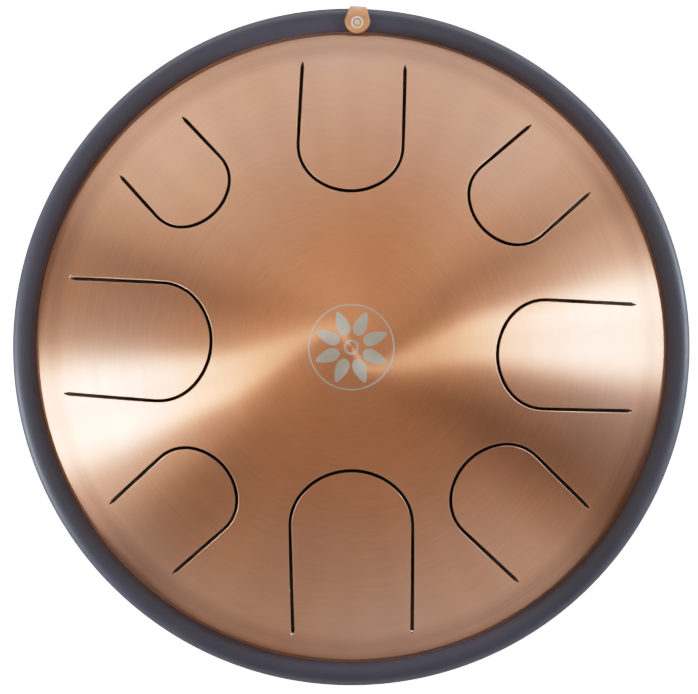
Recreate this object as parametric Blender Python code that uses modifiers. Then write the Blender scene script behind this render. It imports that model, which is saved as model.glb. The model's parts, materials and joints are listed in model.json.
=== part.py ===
"""Steel tongue drum: two bonded steel domes, eight cut tongues, a rubber rim ring with a
leather tag, and four screwed rubber feet.

Frame: metres, +Z up. The origin is on the drum's axis at the level of the soles of its feet.
+Y points to the leather tag.
"""

import math

import bmesh
import bpy
from mathutils import Matrix, Vector

MM = 0.001

# ---------------------------------------------------------------- shared dimensions
JOINT_HEIGHT = 86.9 * MM          # plane between the two flanges, above the floor
STEEL = 1.2 * MM                  # thickness of both domes
BOND_GAP = 1.0 * MM               # space between the two flanges
CLEARANCE = 0.3 * MM              # between parts that lie against each other
RIM_STEPS = 64                    # facets round the domes, the bond and the ring
WELD_DISTANCE = 0.00001

# ---------------------------------------------------------------- dome dimensions
DOME_SPHERE_RADIUS = 189.5 * MM   # mid-surface of the dome's spherical part
DOME_EDGE_ANGLE = math.radians(56.0)  # slope where the sphere meets the knuckle
KNUCKLE_RADIUS = 1.4 * MM         # concave fillet between dome and flange
KNUCKLE_STEPS = 4
FLANGE_RADIUS = 166.0 * MM        # outer edge of both flanges
FLANGE_START = (
    DOME_SPHERE_RADIUS * math.sin(DOME_EDGE_ANGLE) + KNUCKLE_RADIUS * math.sin(DOME_EDGE_ANGLE)
)
DOME_RISE = (DOME_SPHERE_RADIUS + KNUCKLE_RADIUS) * (1.0 - math.cos(DOME_EDGE_ANGLE))
SPHERE_CENTRE = DOME_RISE - DOME_SPHERE_RADIUS  # height above the flange's mid-surface
FLANGE_MID = BOND_GAP / 2.0 + STEEL / 2.0       # flange's mid-surface from the joint plane

# ---------------------------------------------------------------- start from nothing
for old in list(bpy.data.objects):
    bpy.data.objects.remove(old, do_unlink=True)

parts = bpy.data.collections.new("tongue_drum")
tools = bpy.data.collections.new("cutters")
bpy.context.scene.collection.children.link(parts)
bpy.context.scene.collection.children.link(tools)


# ---------------------------------------------------------------- materials
def material(name, colour, roughness, metallic):
    made = bpy.data.materials.new(name)
    made.use_nodes = True
    shader = made.node_tree.nodes["Principled BSDF"]
    shader.inputs["Base Color"].default_value = (*colour, 1.0)
    shader.inputs["Roughness"].default_value = roughness
    shader.inputs["Metallic"].default_value = metallic
    made.diffuse_color = (*colour, 1.0)
    return made


COPPER = material(
    "copper_toned_steel", colour=(0.62, 0.33, 0.20), roughness=0.32, metallic=1.0)
RUBBER = material(
    "blue_grey_rubber", colour=(0.060, 0.058, 0.070), roughness=0.55, metallic=0.0)
BLACK_RUBBER = material(
    "black_rubber", colour=(0.020, 0.020, 0.022), roughness=0.70, metallic=0.0)
LEATHER = material(
    "tan_leather", colour=(0.45, 0.24, 0.12), roughness=0.60, metallic=0.0)
ADHESIVE = material(
    "clear_adhesive", colour=(0.30, 0.28, 0.25), roughness=0.45, metallic=0.0)
ZINC = material(
    "zinc_plated_steel", colour=(0.62, 0.62, 0.60), roughness=0.30, metallic=1.0)


# ---------------------------------------------------------------- objects and modifiers
def part(mesh, surface):
    """A visible piece, named after its mesh."""
    obj = bpy.data.objects.new(mesh.name, mesh)
    parts.objects.link(obj)
    mesh.materials.append(surface)
    return obj


def cutter(mesh):
    """A hidden helper for booleans, named after its mesh."""
    obj = bpy.data.objects.new(mesh.name, mesh)
    tools.objects.link(obj)
    obj.hide_render = True
    obj.display_type = "WIRE"
    return obj


def boolean(obj, tool, operation="DIFFERENCE"):
    mod = obj.modifiers.new(operation.title() + " " + tool.name, "BOOLEAN")
    mod.operation = operation
    mod.solver = "EXACT"
    mod.object = tool


def weld(obj):
    mod = obj.modifiers.new("Weld", "WELD")
    mod.merge_threshold = WELD_DISTANCE


def turned(name, section, closed, surface, steps=RIM_STEPS):
    """A section of (radius, z) points in the XZ plane, turned round Z by a Screw modifier."""
    mesh = bpy.data.meshes.new(name)
    last = len(section) - 1
    edges = [(i, i + 1) for i in range(last)]
    if closed:
        edges.append((last, 0))
    mesh.from_pydata([(radius, 0.0, z) for radius, z in section], edges, [])
    obj = part(mesh, surface)
    mod = obj.modifiers.new("Turn", "SCREW")
    mod.axis = "Z"
    mod.angle = 2.0 * math.pi
    mod.steps = steps
    mod.render_steps = steps
    mod.use_merge_vertices = True
    mod.merge_threshold = WELD_DISTANCE
    mod.use_smooth_shade = True
    return obj


def steel_sheet(name, section):
    """A turned mid-surface given the thickness of the steel."""
    obj = turned(name, section, False, COPPER)
    weld(obj)
    mod = obj.modifiers.new("Sheet", "SOLIDIFY")
    mod.thickness = STEEL
    mod.offset = 0.0
    mod.use_even_offset = True
    return obj


# ---------------------------------------------------------------- solid meshes
def finish_mesh(name, bm):
    bmesh.ops.recalc_face_normals(bm, faces=bm.faces[:])
    mesh = bpy.data.meshes.new(name)
    bm.to_mesh(mesh)
    bm.free()
    return mesh


def box(name, centre, size):
    bm = bmesh.new()
    placed = Matrix.Translation(centre) @ Matrix.Diagonal((*size, 1.0))
    bmesh.ops.create_cube(bm, size=1.0, matrix=placed)
    return finish_mesh(name, bm)


def cone(name, low_radius, high_radius, low, high, segments, frame):
    """A capped cone along the frame's Z axis, from low to high."""
    bm = bmesh.new()
    bmesh.ops.create_cone(
        bm, cap_ends=True, segments=segments,
        radius1=low_radius, radius2=high_radius, depth=high - low,
    )
    bmesh.ops.translate(bm, verts=bm.verts[:], vec=(0.0, 0.0, (high + low) / 2.0))
    bmesh.ops.transform(bm, matrix=frame, verts=bm.verts[:])
    return finish_mesh(name, bm)


def cylinder(name, radius, low, high, segments, frame):
    return cone(name, radius, radius, low, high, segments, frame)


def prism(name, outline, frame, low, high):
    """A vertical prism through an outline given in the frame's XY plane."""
    bm = bmesh.new()
    bm.faces.new([bm.verts.new(frame @ Vector((x, y, low))) for x, y in outline])
    extruded = bmesh.ops.extrude_face_region(bm, geom=bm.faces[:])
    moved = [item for item in extruded["geom"] if isinstance(item, bmesh.types.BMVert)]
    bmesh.ops.translate(bm, verts=moved, vec=(0.0, 0.0, high - low))
    return finish_mesh(name, bm)


# ---------------------------------------------------------------- the dome's section
def dome_height(radius):
    """Height of the sphere's mid-surface above the flange's mid-surface."""
    return SPHERE_CENTRE + math.sqrt(DOME_SPHERE_RADIUS ** 2 - radius * radius)


def dome_section(first_angle, sphere_steps):
    """(radius, height) of the mid-surface from the crown side out to the flange's edge."""
    points = []
    for i in range(sphere_steps + 1):
        angle = first_angle + (DOME_EDGE_ANGLE - first_angle) * i / sphere_steps
        radius = DOME_SPHERE_RADIUS * math.sin(angle)
        points.append((radius, dome_height(radius)))
    for i in range(1, KNUCKLE_STEPS + 1):
        angle = DOME_EDGE_ANGLE * (1.0 - i / KNUCKLE_STEPS)
        radius = FLANGE_START - KNUCKLE_RADIUS * math.sin(angle)
        points.append((radius, KNUCKLE_RADIUS * (1.0 - math.cos(angle))))
    points.append((FLANGE_RADIUS, 0.0))
    return points


# ---------------------------------------------------------------- top shell and tongues
SLOT = 1.4 * MM                   # width of every slot
ROOT_GAP = 0.3 * MM               # parting gap at a tongue's root
TIP_EASE = 2.2 * MM               # the tip's arc radius is the half width plus this
SHOULDER = 0.84                   # corner radius between side and tip arc, over the half width
TIP_STEPS = 22
SHOULDER_STEPS = 3
TONGUE_CUT_LOW = JOINT_HEIGHT - 10.0 * MM
TONGUE_CUT_HIGH = JOINT_HEIGHT + 90.0 * MM
HINGE_DISPLAY_SIZE = 0.02

# Azimuth of the centreline in degrees, then in millimetres: sideways shift of the centreline,
# half width, distance of the tip from the axis, distance of the slot's two ends from the axis.
TONGUES = {
    "north":     (89.03, 4.06, 25.46, 74.83, 141.5),
    "northeast": (42.28, 2.24, 22.27, 85.23, 140.1),
    "east":      (-0.93, -0.05, 26.40, 70.09, 141.6),
    "southeast": (-42.68, -1.25, 25.36, 78.30, 141.7),
    "south":     (-88.22, -0.84, 29.60, 59.04, 144.4),
    "southwest": (-136.88, 1.13, 23.31, 84.01, 141.8),
    "west":      (177.67, 3.14, 28.61, 67.07, 142.7),
    "northwest": (134.15, 4.78, 21.23, 92.41, 140.9),
}


def top_sheet(name):
    """The whole upper dome before its slots are cut."""
    base = JOINT_HEIGHT + FLANGE_MID
    return steel_sheet(name, [(radius, base + height) for radius, height in dome_section(0.0, 8)])


def tongue_outline(half_width, tip, offset, root):
    """Outline moved outwards by offset: x runs from the drum's axis to the root, y sideways."""
    side = half_width + offset
    tip_radius = half_width + TIP_EASE + offset
    tip_centre = tip + half_width + TIP_EASE
    # the shoulder's circle touches the straight side and the tip's arc from within
    shoulder = SHOULDER * half_width + offset
    shoulder_y = side - shoulder
    reach = tip_radius - shoulder
    shoulder_x = tip_centre - math.sqrt(reach * reach - shoulder_y * shoulder_y)
    tip_angle = math.asin(shoulder_y / reach)
    corner = []
    for i in range(SHOULDER_STEPS):
        angle = math.pi / 2.0 + (math.pi / 2.0 - tip_angle) * i / SHOULDER_STEPS
        corner.append((
            shoulder_x + shoulder * math.cos(angle),
            shoulder_y + shoulder * math.sin(angle),
        ))
    points = [(root, -side)] + [(x, -y) for x, y in corner]
    for i in range(TIP_STEPS + 1):
        angle = -tip_angle + 2.0 * tip_angle * i / TIP_STEPS
        points.append((
            tip_centre - tip_radius * math.cos(angle),
            tip_radius * math.sin(angle),
        ))
    return points + corner[::-1] + [(root, side)]


def tongue_cutter(name, half_width, tip, offset, root, frame):
    outline = tongue_outline(half_width, tip, offset, root)
    return cutter(prism(name, outline, frame, TONGUE_CUT_LOW, TONGUE_CUT_HIGH))


def build_tongue(shell, name, azimuth, shift, half_width, tip, slot_end):
    """Cut the tongue's window in the shell, and hang the tongue itself on its hinge."""
    turn = Matrix.Rotation(azimuth, 4, "Z")
    frame = turn @ Matrix.Translation((0.0, shift, 0.0))
    root = math.sqrt(slot_end * slot_end - half_width * half_width)
    window = tongue_cutter(
        "window_" + name, half_width, tip, SLOT / 2.0, root + ROOT_GAP / 2.0, frame)
    boolean(shell, window)
    blank = tongue_cutter(
        "blank_" + name, half_width, tip, -SLOT / 2.0, root - ROOT_GAP / 2.0, frame)
    tongue = top_sheet("tongue_" + name)
    boolean(tongue, blank, "INTERSECT")

    # the hinge line: level, across the root, at the sheet's mid-surface
    centre = frame @ Vector((root, 0.0, 0.0))
    height = JOINT_HEIGHT + FLANGE_MID + dome_height(math.hypot(centre.x, centre.y))
    hinge = bpy.data.objects.new("hinge_" + name, None)
    hinge.empty_display_size = HINGE_DISPLAY_SIZE
    parts.objects.link(hinge)
    hinge.matrix_world = Matrix.Translation((centre.x, centre.y, height)) @ turn
    tongue.parent = hinge
    tongue.matrix_parent_inverse = hinge.matrix_world.inverted()


top_shell = top_sheet("top_shell")
for tongue_name, (degrees, *lengths) in TONGUES.items():
    build_tongue(
        top_shell, tongue_name, math.radians(degrees), *(length * MM for length in lengths))

# ---------------------------------------------------------------- bottom shell with its port
PORT_RADIUS = 40.0 * MM           # clear radius of the sound port
PORT_FOLD_RADIUS = 4.5 * MM       # fold between the dome and the turned-in lip
PORT_LIP = 5.0 * MM               # straight part of the lip
PORT_FOLD_STEPS = 4


def bottom_section():
    """(radius, z) of the mid-surface, from the lip's upper end out to the flange."""
    lip_mid = PORT_RADIUS + STEEL / 2.0
    # the fold's circle is inside the dome's sphere and touches the vertical lip
    reach = DOME_SPHERE_RADIUS - PORT_FOLD_RADIUS
    fold_radius = lip_mid + PORT_FOLD_RADIUS
    fold_height = SPHERE_CENTRE + math.sqrt(reach ** 2 - fold_radius ** 2)
    fold_end = math.asin(fold_radius / reach)
    points = [(lip_mid, -fold_height + PORT_LIP)]
    for i in range(PORT_FOLD_STEPS + 1):
        angle = -math.pi / 2.0 + (fold_end + math.pi / 2.0) * i / PORT_FOLD_STEPS
        points.append((
            fold_radius + PORT_FOLD_RADIUS * math.sin(angle),
            -(fold_height + PORT_FOLD_RADIUS * math.cos(angle)),
        ))
    points += [(radius, -height) for radius, height in dome_section(fold_end, 7)[1:]]
    return [(radius, JOINT_HEIGHT - FLANGE_MID + z) for radius, z in points]


bottom_shell = steel_sheet("bottom_shell", bottom_section())

# ---------------------------------------------------------------- bond between the flanges
BOND_THICKNESS = 0.4 * MM
BOND_INNER = 158.5 * MM
BOND_OUTER = 165.2 * MM
BOND_TOP = JOINT_HEIGHT + BOND_THICKNESS / 2.0
BOND_BOTTOM = JOINT_HEIGHT - BOND_THICKNESS / 2.0

turned(
    "rim_bond",
    [
        (BOND_OUTER, BOND_TOP),
        (BOND_OUTER, BOND_BOTTOM),
        (BOND_INNER, BOND_BOTTOM),
        (BOND_INNER, BOND_TOP),
    ],
    True,
    ADHESIVE,
)

# ---------------------------------------------------------------- rubber ring
RING_RADIUS = 170.4 * MM          # outside of the ring, the drum's largest turned radius
RING_INNER = 158.3 * MM           # lips of the ring
RING_HALF_HEIGHT = 4.5 * MM
RING_LIP_ROUND = 2.3 * MM         # height of the elliptic slope down to the inner lip
RING_LIP_WIDTH = 5.6 * MM         # and its width
RING_EDGE_ROUND = 6.5 * MM        # width of the elliptic outer edge
RING_EDGE_START = RING_RADIUS - RING_EDGE_ROUND
RING_GROOVE = 166.4 * MM          # floor of the groove that takes the flanges
RING_ARC_STEPS = 5
RING_BUTT_GAP = 0.4 * MM          # the ring's two ends meet under the tag
BUTT_CUT_INSET = 8.0 * MM         # centre of the cut, inwards from the ring's outside
BUTT_CUT_LENGTH = 40.0 * MM
BUTT_CUT_HEIGHT = 30.0 * MM


def ellipse_arc(centre, radii, start, end):
    """Points of an elliptic arc between two angles in degrees."""
    points = []
    for i in range(RING_ARC_STEPS + 1):
        angle = math.radians(start + (end - start) * i / RING_ARC_STEPS)
        points.append((
            centre[0] + radii[0] * math.cos(angle),
            centre[1] + radii[1] * math.sin(angle),
        ))
    return points


def ring_section():
    """Closed (radius, z) section: upper half, its mirror image, then the groove's floor."""
    groove_half = BOND_GAP / 2.0 + STEEL + CLEARANCE
    lip = ellipse_arc(
        centre=(RING_INNER + RING_LIP_WIDTH, RING_HALF_HEIGHT - RING_LIP_ROUND),
        radii=(RING_LIP_WIDTH, RING_LIP_ROUND), start=180, end=90)
    edge = ellipse_arc(
        centre=(RING_EDGE_START, 0.0),
        radii=(RING_EDGE_ROUND, RING_HALF_HEIGHT), start=90, end=0)
    upper = [(RING_INNER, groove_half)] + lip[:-1] + edge
    lower = [(radius, -z) for radius, z in reversed(upper[:-1])]
    groove = [(RING_GROOVE, -groove_half), (RING_GROOVE, groove_half)]
    return [(radius, JOINT_HEIGHT + z) for radius, z in upper + lower + groove]


rim_ring = turned("rim_ring", ring_section(), True, RUBBER)
boolean(rim_ring, cutter(box(
    "butt_joint",
    centre=(0.0, RING_RADIUS - BUTT_CUT_INSET, JOINT_HEIGHT),
    size=(RING_BUTT_GAP, BUTT_CUT_LENGTH, BUTT_CUT_HEIGHT),
)))

# ---------------------------------------------------------------- leather tag
TAG_LOBE_RADIUS = 6.4 * MM
TAG_LOBE_CENTRE = 163.3 * MM      # distance of the round lobe's centre from the axis
TAG_NECK_HALF = 3.8 * MM          # half width of the neck round the ring's edge
TAG_TAPER = 0.34                  # loss of half width per unit of length, from lobe to neck
TAG_THICKNESS = 1.3 * MM
TAG_FLAT_STEPS = 9
TAG_BEND_STEPS = 12
TAG_END_INSET = 0.02              # keeps the lobe's end from a point, over the lobe's radius


def tag_half_width(y):
    if y <= TAG_LOBE_CENTRE:
        return math.sqrt(max(0.0, TAG_LOBE_RADIUS ** 2 - (y - TAG_LOBE_CENTRE) ** 2))
    return max(TAG_LOBE_RADIUS - TAG_TAPER * (y - TAG_LOBE_CENTRE), TAG_NECK_HALF)


def tag_path():
    """Mid-line of the strap as (y, z, normal y, normal z, half width), z from the joint plane:
    over the ring, round its edge and back below."""
    offset = CLEARANCE + TAG_THICKNESS / 2.0
    top = RING_HALF_HEIGHT + offset
    bend = RING_EDGE_ROUND + offset
    end_y = TAG_LOBE_CENTRE - TAG_LOBE_RADIUS
    widest_end_y = end_y + TAG_END_INSET * TAG_LOBE_RADIUS

    above = []
    for i in range(TAG_FLAT_STEPS + 1):
        # closer steps near the lobe's round end
        share = 1.0 - math.cos(0.5 * math.pi * i / TAG_FLAT_STEPS)
        y = end_y + (RING_EDGE_START - end_y) * share
        above.append((y, top, 0.0, 1.0, tag_half_width(max(y, widest_end_y))))
    around = []
    for i in range(1, TAG_BEND_STEPS):
        angle = math.radians(90.0 - 180.0 / TAG_BEND_STEPS * i)
        normal_y = math.cos(angle) * top
        normal_z = math.sin(angle) * bend
        length = math.hypot(normal_y, normal_z)
        y = RING_EDGE_START + bend * math.cos(angle)
        around.append((
            y, top * math.sin(angle), normal_y / length, normal_z / length, tag_half_width(y)))
    below = [(y, -z, normal_y, -normal_z, half_width)
             for y, z, normal_y, normal_z, half_width in reversed(above)]
    return above + around + below


def tag_mesh():
    """A four-cornered section carried along the strap's path, capped at both ends."""
    bm = bmesh.new()
    rows = []
    for y, z, normal_y, normal_z, half_width in tag_path():
        row = []
        for face, side in ((1, -1), (1, 1), (-1, 1), (-1, -1)):
            depth = face * TAG_THICKNESS / 2.0
            row.append(bm.verts.new((
                side * half_width, y + depth * normal_y, JOINT_HEIGHT + z + depth * normal_z)))
        rows.append(row)
    for row, following in zip(rows, rows[1:]):
        for i in range(4):
            j = (i + 1) % 4
            bm.faces.new((row[i], row[j], following[j], following[i]))
    bm.faces.new(rows[0][::-1])
    bm.faces.new(rows[-1])
    return finish_mesh("leather_tag", bm)


part(tag_mesh(), LEATHER)

# ---------------------------------------------------------------- feet, screws and nuts
# Heights are along a foot's own axis from the shell's mid-surface, positive out of the shell.
FOOT_CIRCLE = 66.0 * MM
FOOT_AZIMUTHS = {"northeast": 45.0, "northwest": 135.0, "southwest": 225.0, "southeast": 315.0}
FOOT_TILT = math.asin(FOOT_CIRCLE / DOME_SPHERE_RADIUS)
FOOT_SEAT = STEEL / 2.0 + CLEARANCE
FOOT_SEAT_RADIUS = 12.5 * MM
FOOT_SOLE_RADIUS = 11.0 * MM
FOOT_EXCESS = 8.0 * MM            # extra length that the floor plane trims off
FOOT_SHARP_ANGLE = 35.0           # degrees

SCREW_SHANK_RADIUS = 2.0 * MM
SCREW_HEAD_RADIUS = 3.9 * MM
SCREW_HEAD_HEIGHT = 2.6 * MM
SCREW_SEAT = 7.4 * MM             # underside of the head
SCREW_CROWN = SCREW_SEAT + SCREW_HEAD_HEIGHT
SCREW_END = -6.0 * MM             # end of the shank, inside the shell
SCREW_CHAMFER = 0.4 * MM
SOCKET_RADIUS = 1.45 * MM         # over the hexagon's corners
SOCKET_DEPTH = 1.5 * MM

SCREW_HOLE_RADIUS = 2.4 * MM
HOLE_FACETS = 20
HOLE_TWIST = math.radians(5.0)    # turns the hole's facets about its axis
HEAD_BORE_RADIUS = 4.6 * MM

NUT_FLATS = 7.0 * MM
NUT_HEIGHT = 3.2 * MM
NUT_LOW = -(STEEL / 2.0 + CLEARANCE + NUT_HEIGHT)
NUT_BORE_OVERRUN = 3.0 * MM

# (radius, height) of the pan-head screw, from the crown to the end of the shank
SCREW_SECTION = [
    (0.0, SCREW_CROWN),
    (SCREW_HEAD_RADIUS * 0.72, SCREW_CROWN),
    (SCREW_HEAD_RADIUS * 0.93, SCREW_CROWN - 0.5 * MM),
    (SCREW_HEAD_RADIUS, SCREW_CROWN - 1.1 * MM),
    (SCREW_HEAD_RADIUS, SCREW_SEAT),
    (SCREW_SHANK_RADIUS, SCREW_SEAT),
    (SCREW_SHANK_RADIUS, SCREW_END + SCREW_CHAMFER),
    (SCREW_SHANK_RADIUS - SCREW_CHAMFER, SCREW_END),
    (0.0, SCREW_END),
]


def foot_frame(azimuth):
    """Origin on the shell's mid-surface, +Z out of the shell (down and outwards)."""
    z = JOINT_HEIGHT - FLANGE_MID - dome_height(FOOT_CIRCLE)
    return (
        Matrix.Rotation(azimuth, 4, "Z")
        @ Matrix.Translation((FOOT_CIRCLE, 0.0, z))
        @ Matrix.Rotation(math.pi - FOOT_TILT, 4, "Y")
    )


def build_foot(place, frame, floor, hole):
    """A tapered foot trimmed level with the floor, drilled and bored for its screw."""
    bore = cutter(cylinder(
        "head_bore_" + place, HEAD_BORE_RADIUS, SCREW_SEAT - CLEARANCE, 40.0 * MM, 28, frame))
    sole = frame.translation.z / math.cos(FOOT_TILT)
    taper = (FOOT_SOLE_RADIUS - FOOT_SEAT_RADIUS) / (sole - FOOT_SEAT)
    end = sole + FOOT_EXCESS
    end_radius = FOOT_SEAT_RADIUS + taper * (end - FOOT_SEAT)
    foot = part(
        cone("foot_" + place, FOOT_SEAT_RADIUS, end_radius, FOOT_SEAT, end, 32, frame),
        BLACK_RUBBER,
    )
    for tool in (floor, hole, bore):
        boolean(foot, tool)
    foot.data.shade_smooth()
    foot.data.set_sharp_from_angle(angle=math.radians(FOOT_SHARP_ANGLE))


def build_screw(place, frame):
    """A turned pan-head screw with a hexagon socket."""
    screw = turned("foot_screw_" + place, SCREW_SECTION, False, ZINC, steps=16)
    screw.matrix_world = frame
    weld(screw)
    boolean(screw, cutter(cylinder(
        "socket_" + place, SOCKET_RADIUS,
        SCREW_CROWN - SOCKET_DEPTH, SCREW_CROWN + 1.0 * MM, 6, frame)))


def build_nut(place, frame):
    """A hexagon nut inside the shell."""
    nut = part(
        cylinder("foot_nut_" + place, NUT_FLATS / math.sqrt(3.0),
                 NUT_LOW, NUT_LOW + NUT_HEIGHT, 6, frame),
        ZINC,
    )
    boolean(nut, cutter(cylinder(
        "nut_bore_" + place, SCREW_HOLE_RADIUS,
        NUT_LOW - NUT_BORE_OVERRUN, NUT_BORE_OVERRUN, HOLE_FACETS, frame)))


# everything below the floor, with its top face at z = 0
sole_plane = cutter(box("sole_plane", centre=(0.0, 0.0, -0.05), size=(0.5, 0.5, 0.1)))

for foot_place, degrees in FOOT_AZIMUTHS.items():
    foot_axis = foot_frame(math.radians(degrees))
    screw_hole = cutter(cylinder(
        "screw_hole_" + foot_place, SCREW_HOLE_RADIUS, -8.0 * MM, 30.0 * MM, HOLE_FACETS,
        foot_axis @ Matrix.Rotation(HOLE_TWIST, 4, "Z")))
    build_foot(foot_place, foot_axis, sole_plane, screw_hole)
    boolean(bottom_shell, screw_hole)
    build_screw(foot_place, foot_axis)
    build_nut(foot_place, foot_axis)
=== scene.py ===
"""A steel tongue drum, its floor, lights and camera.

The drum stands on its four rubber feet at z = 0 with its axis on z. Two pressed domes meet
in a rubber rim ring at JOINT_Z. +x is east and +y is north, where the leather tag folds over
the ring. Azimuths are in degrees from +x towards +y.
"""
import json
import math

import bmesh
import bpy
import numpy as np
from mathutils import Matrix, Vector
from mathutils.geometry import delaunay_2d_cdt


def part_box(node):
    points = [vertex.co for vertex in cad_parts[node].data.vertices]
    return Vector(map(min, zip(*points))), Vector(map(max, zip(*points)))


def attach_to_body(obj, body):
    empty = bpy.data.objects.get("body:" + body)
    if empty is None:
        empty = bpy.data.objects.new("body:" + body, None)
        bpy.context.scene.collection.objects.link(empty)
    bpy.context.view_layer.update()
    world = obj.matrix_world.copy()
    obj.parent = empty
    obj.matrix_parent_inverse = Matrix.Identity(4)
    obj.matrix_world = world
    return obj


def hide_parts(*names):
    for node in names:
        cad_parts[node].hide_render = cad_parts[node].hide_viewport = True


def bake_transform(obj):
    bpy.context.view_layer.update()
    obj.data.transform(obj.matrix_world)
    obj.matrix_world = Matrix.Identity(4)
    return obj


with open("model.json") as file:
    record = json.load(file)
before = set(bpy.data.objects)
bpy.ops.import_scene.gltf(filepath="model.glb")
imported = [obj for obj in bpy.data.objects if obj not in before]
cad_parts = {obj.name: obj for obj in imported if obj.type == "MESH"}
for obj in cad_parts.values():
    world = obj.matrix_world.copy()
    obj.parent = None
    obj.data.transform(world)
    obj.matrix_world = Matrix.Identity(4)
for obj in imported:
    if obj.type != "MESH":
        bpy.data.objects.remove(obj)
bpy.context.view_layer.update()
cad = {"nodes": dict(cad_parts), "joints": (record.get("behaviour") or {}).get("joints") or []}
NODES = cad["nodes"]
MM = 0.001

# ------------------------------------------------------------------ shared sizes
SHEET = 1.2 * MM
DOME_R = 189.5 * MM                      # sphere of both domes, at the sheet's middle
KNUCKLE_R = 1.4 * MM                     # bend between dome and flange
DOME_EDGE = math.radians(56.0)           # where the sphere ends, from its pole
FLANGE_R = float(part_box("top_shell")[1].x)
ring_low, ring_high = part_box("rim_ring")
JOINT_Z = float((ring_low.z + ring_high.z) / 2)
RING_R = float(ring_high.x)
RING_HALF = float(ring_high.z - ring_low.z) / 2
RING_EDGE = 6.5 * MM                     # radial reach of the ring's rounded outside
KNUCKLE_FOOT_R = DOME_R * math.sin(DOME_EDGE) + KNUCKLE_R * math.sin(DOME_EDGE)
RISE = (DOME_R + KNUCKLE_R) * (1 - math.cos(DOME_EDGE))
FLANGE_MID = 1.1 * MM                    # from the joint to a flange's middle
BASE = JOINT_Z + FLANGE_MID

# leather tag, read by both its mesh and its material
TAG_Y = 163.85 * MM                      # centre of the rounded end
TAG_X = -0.4 * MM
TAG_LOBE = 6.38 * MM                     # half-width at TAG_Y
TAG_TIP = 6.45 * MM                      # from TAG_Y to the end
TAG_NECK = 3.8 * MM                      # half-width towards the fold
TAG_TAPER = 0.32


def dome_surface(radius, offset):
    """The upper dome's surface, moved outwards by offset.

    Gives the height above the flange's middle and the normal's radial and upward parts.
    """
    radius = np.asarray(radius, float)
    sphere_r, knuckle_r = DOME_R + offset, KNUCKLE_R - offset
    on_sphere = radius <= sphere_r * math.sin(DOME_EDGE)
    on_flange = radius >= KNUCKLE_FOOT_R
    reach = np.clip(radius, 0, sphere_r * math.sin(DOME_EDGE))
    sphere_z = RISE - DOME_R + np.sqrt(sphere_r * sphere_r - reach * reach)
    inset = np.clip(KNUCKLE_FOOT_R - radius, 0, knuckle_r * math.sin(DOME_EDGE))
    knuckle_z = KNUCKLE_R - np.sqrt(knuckle_r * knuckle_r - inset * inset)
    height = np.where(on_sphere, sphere_z, np.where(on_flange, offset, knuckle_z))
    outward = np.where(on_sphere, reach / sphere_r, np.where(on_flange, 0.0, inset / knuckle_r))
    return height, outward, np.sqrt(1 - outward * outward)


def on_sheet(plan, offset):
    """Points and upward normals of the upper dome over an array of (x, y)."""
    radius = np.hypot(plan[:, 0], plan[:, 1])
    height, outward, upward = dome_surface(radius, offset)
    direction = plan / np.maximum(radius, 1e-9)[:, None]
    return np.c_[plan, BASE + height], np.c_[direction * outward[:, None], upward]


# ------------------------------------------------------------------ mesh helpers
def circle(radius, count, turn=0.0):
    """(x, y) points round a circle; turn is in steps."""
    angles = [2 * math.pi * (j + turn) / count for j in range(count)]
    return [(radius * math.cos(a), radius * math.sin(a)) for a in angles]


def face_outwards(mesh):
    bm = bmesh.new()
    bm.from_mesh(mesh)
    bmesh.ops.recalc_face_normals(bm, faces=bm.faces[:])
    if bm.calc_volume(signed=True) < 0:
        bmesh.ops.reverse_faces(bm, faces=bm.faces[:])
    bm.to_mesh(mesh)
    bm.free()


def add_object(name, mesh):
    ob = bpy.data.objects.new(name, mesh)
    bpy.context.scene.collection.objects.link(ob)
    return ob


def skin(name, loops, materials, sharp, closed=False):
    """Skins loops of equal counts. closed joins the last loop to the first; if not, ends are capped.

    Edges bent by more than sharp degrees stay sharp.
    """
    count, last = len(loops[0]), (len(loops) - 1) * len(loops[0])
    faces = []
    for i in range(len(loops) if closed else len(loops) - 1):
        a, b = i * count, ((i + 1) % len(loops)) * count
        for j in range(count):
            k = (j + 1) % count
            faces.append((a + j, b + j, b + k, a + k))
    if not closed:
        faces.append(tuple(range(count)))
        faces.append(tuple(last + j for j in reversed(range(count))))
    mesh = bpy.data.meshes.new(name)
    mesh.from_pydata([tuple(map(float, p)) for loop in loops for p in loop], [], faces)
    mesh.update()
    for material in materials:
        mesh.materials.append(material)
    mesh.shade_smooth()
    mesh.set_sharp_from_angle(angle=math.radians(sharp))
    face_outwards(mesh)
    return add_object(name, mesh)


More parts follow.
